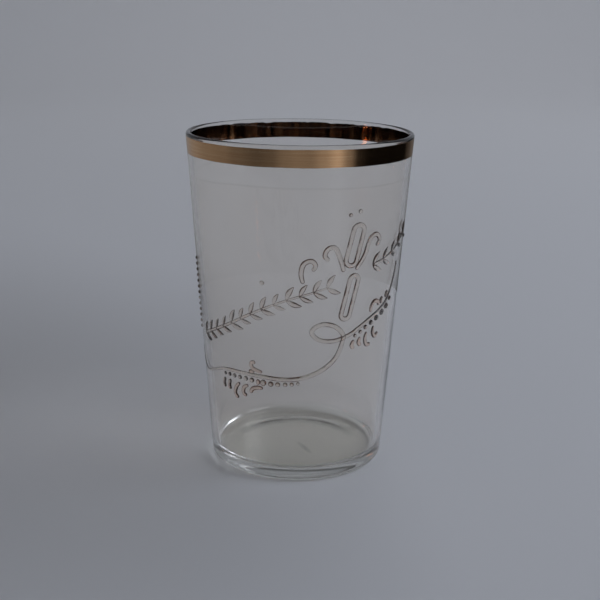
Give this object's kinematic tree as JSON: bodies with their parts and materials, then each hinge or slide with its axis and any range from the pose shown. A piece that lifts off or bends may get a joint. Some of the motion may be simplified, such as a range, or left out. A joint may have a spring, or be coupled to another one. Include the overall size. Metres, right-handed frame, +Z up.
{
  "type": "shot glass",
  "caption": "Tapered clear shot glass with a thick floor, a gilt band under the lip and raised enamel garland and laurel brushwork on one side.",
  "frame": {"origin": "centre of the foot, on the glass's axis, in the plane that it stands on", "axes": "+Z up along the glass's axis; -Y is the decorated side; +X is to the right as the decoration is looked at"},
  "size_m": [0.0482, 0.0482, 0.0718],
  "materials": {
    "clear_glass": "clear soda glass with a faint warm haze",
    "liquid_gold": "fired liquid gold, fine horizontal brush streaks",
    "raised_enamel": "raised translucent enamel with worn gold-brown edges",
    "blush_enamel": "raised enamel with a pinkish brown tint"
  },
  "bodies": {
    "root": {"glass_tumbler": "clear_glass", "gilt_rim_band": "liquid_gold", "branch_tendril": "raised_enamel", "crown_bead_1": "raised_enamel", "crown_bead_2": "raised_enamel", "fleuron_left_curl": "raised_enamel", "fleuron_petal": "raised_enamel", "fleuron_right_curl": "raised_enamel", "fleuron_stalk": "raised_enamel", "garland_left_curl": "blush_enamel", "garland_left_leaf_1": "blush_enamel", "garland_left_leaf_2": "blush_enamel", "garland_left_leaf_3": "blush_enamel", "garland_left_leaf_4": "blush_enamel", "garland_left_leaf_5": "blush_enamel", "garland_loop": "blush_enamel", "garland_right_curl": "blush_enamel", "garland_right_leaf_1": "blush_enamel", "garland_right_leaf_2": "blush_enamel", "garland_right_leaf_3": "blush_enamel", "garland_right_leaf_4": "blush_enamel", "garland_stem": "raised_enamel", "garland_tail": "raised_enamel", "laurel_berry": "raised_enamel", "laurel_branch": "raised_enamel", "laurel_tip": "raised_enamel", "left_bead_01": "raised_enamel", "left_bead_02": "raised_enamel", "left_bead_03": "raised_enamel", "left_bead_04": "raised_enamel", "left_bead_05": "raised_enamel", "left_bead_06": "raised_enamel", "left_bead_07": "raised_enamel", "left_bead_08": "raised_enamel", "left_bead_09": "raised_enamel", "left_bead_10": "raised_enamel", "left_bead_11": "raised_enamel", "left_bead_12": "raised_enamel", "right_bead_01": "raised_enamel", "right_bead_02": "raised_enamel", "right_bead_03": "raised_enamel", "right_bead_04": "raised_enamel", "right_bead_05": "raised_enamel", "right_bead_06": "raised_enamel", "right_bead_07": "raised_enamel", "right_bead_08": "raised_enamel", "side_bead_01": "raised_enamel", "side_bead_02": "raised_enamel", "side_bead_03": "raised_enamel", "side_bead_04": "raised_enamel", "side_bead_05": "raised_enamel", "side_bead_06": "raised_enamel", "side_bead_07": "raised_enamel", "side_bead_08": "raised_enamel", "side_bead_09": "raised_enamel", "side_bead_10": "raised_enamel", "side_bead_11": "raised_enamel", "side_bead_12": "raised_enamel", "side_bead_13": "raised_enamel"}
  },
  "joints": []
}
